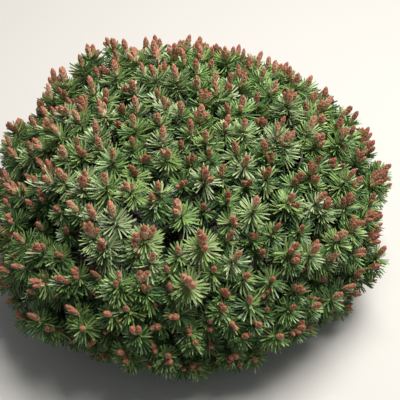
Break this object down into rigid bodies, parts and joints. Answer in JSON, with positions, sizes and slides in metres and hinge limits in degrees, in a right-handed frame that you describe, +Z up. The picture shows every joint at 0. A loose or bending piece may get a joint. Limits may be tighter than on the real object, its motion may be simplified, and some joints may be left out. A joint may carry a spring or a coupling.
{
  "type": "dwarf mugo pine shrub",
  "caption": "Low, dense cushion of a dwarf mugo pine with short needles and upright red-brown buds, rooted in the ground by a short trunk.",
  "frame": {"origin": "middle of the flat cut under the trunk, at ground level", "axes": "+Z up; +X along the crown's longest side; the pictured side faces -Y"},
  "size_m": [0.438, 0.4164, 0.236],
  "materials": {
    "trunk_bark": "rough grey-brown scaly bark",
    "bough_bark": "rough brown bark with leaf-scale ridges",
    "needles": "green needles, satin, with matt red-brown buds"
  },
  "bodies": {
    "root": {"trunk": "trunk_bark", "bough_top": "bough_bark", "bough_upper_1": "bough_bark", "bough_upper_2": "bough_bark", "bough_upper_3": "bough_bark", "bough_upper_4": "bough_bark", "bough_upper_5": "bough_bark", "bough_upper_6": "bough_bark", "bough_lower_1": "bough_bark", "bough_lower_2": "bough_bark", "bough_lower_3": "bough_bark", "bough_lower_4": "bough_bark", "bough_lower_5": "bough_bark", "bough_lower_6": "bough_bark", "bough_lower_7": "bough_bark", "bough_lower_8": "bough_bark", "bough_lower_9": "bough_bark", "foliage_top": "needles", "foliage_upper_1": "needles", "foliage_upper_2": "needles", "foliage_upper_3": "needles", "foliage_upper_4": "needles", "foliage_upper_5": "needles", "foliage_upper_6": "needles", "foliage_lower_1": "needles", "foliage_lower_2": "needles", "foliage_lower_3": "needles", "foliage_lower_4": "needles", "foliage_lower_5": "needles", "foliage_lower_6": "needles", "foliage_lower_7": "needles", "foliage_lower_8": "needles", "foliage_lower_9": "needles"}
  },
  "joints": []
}
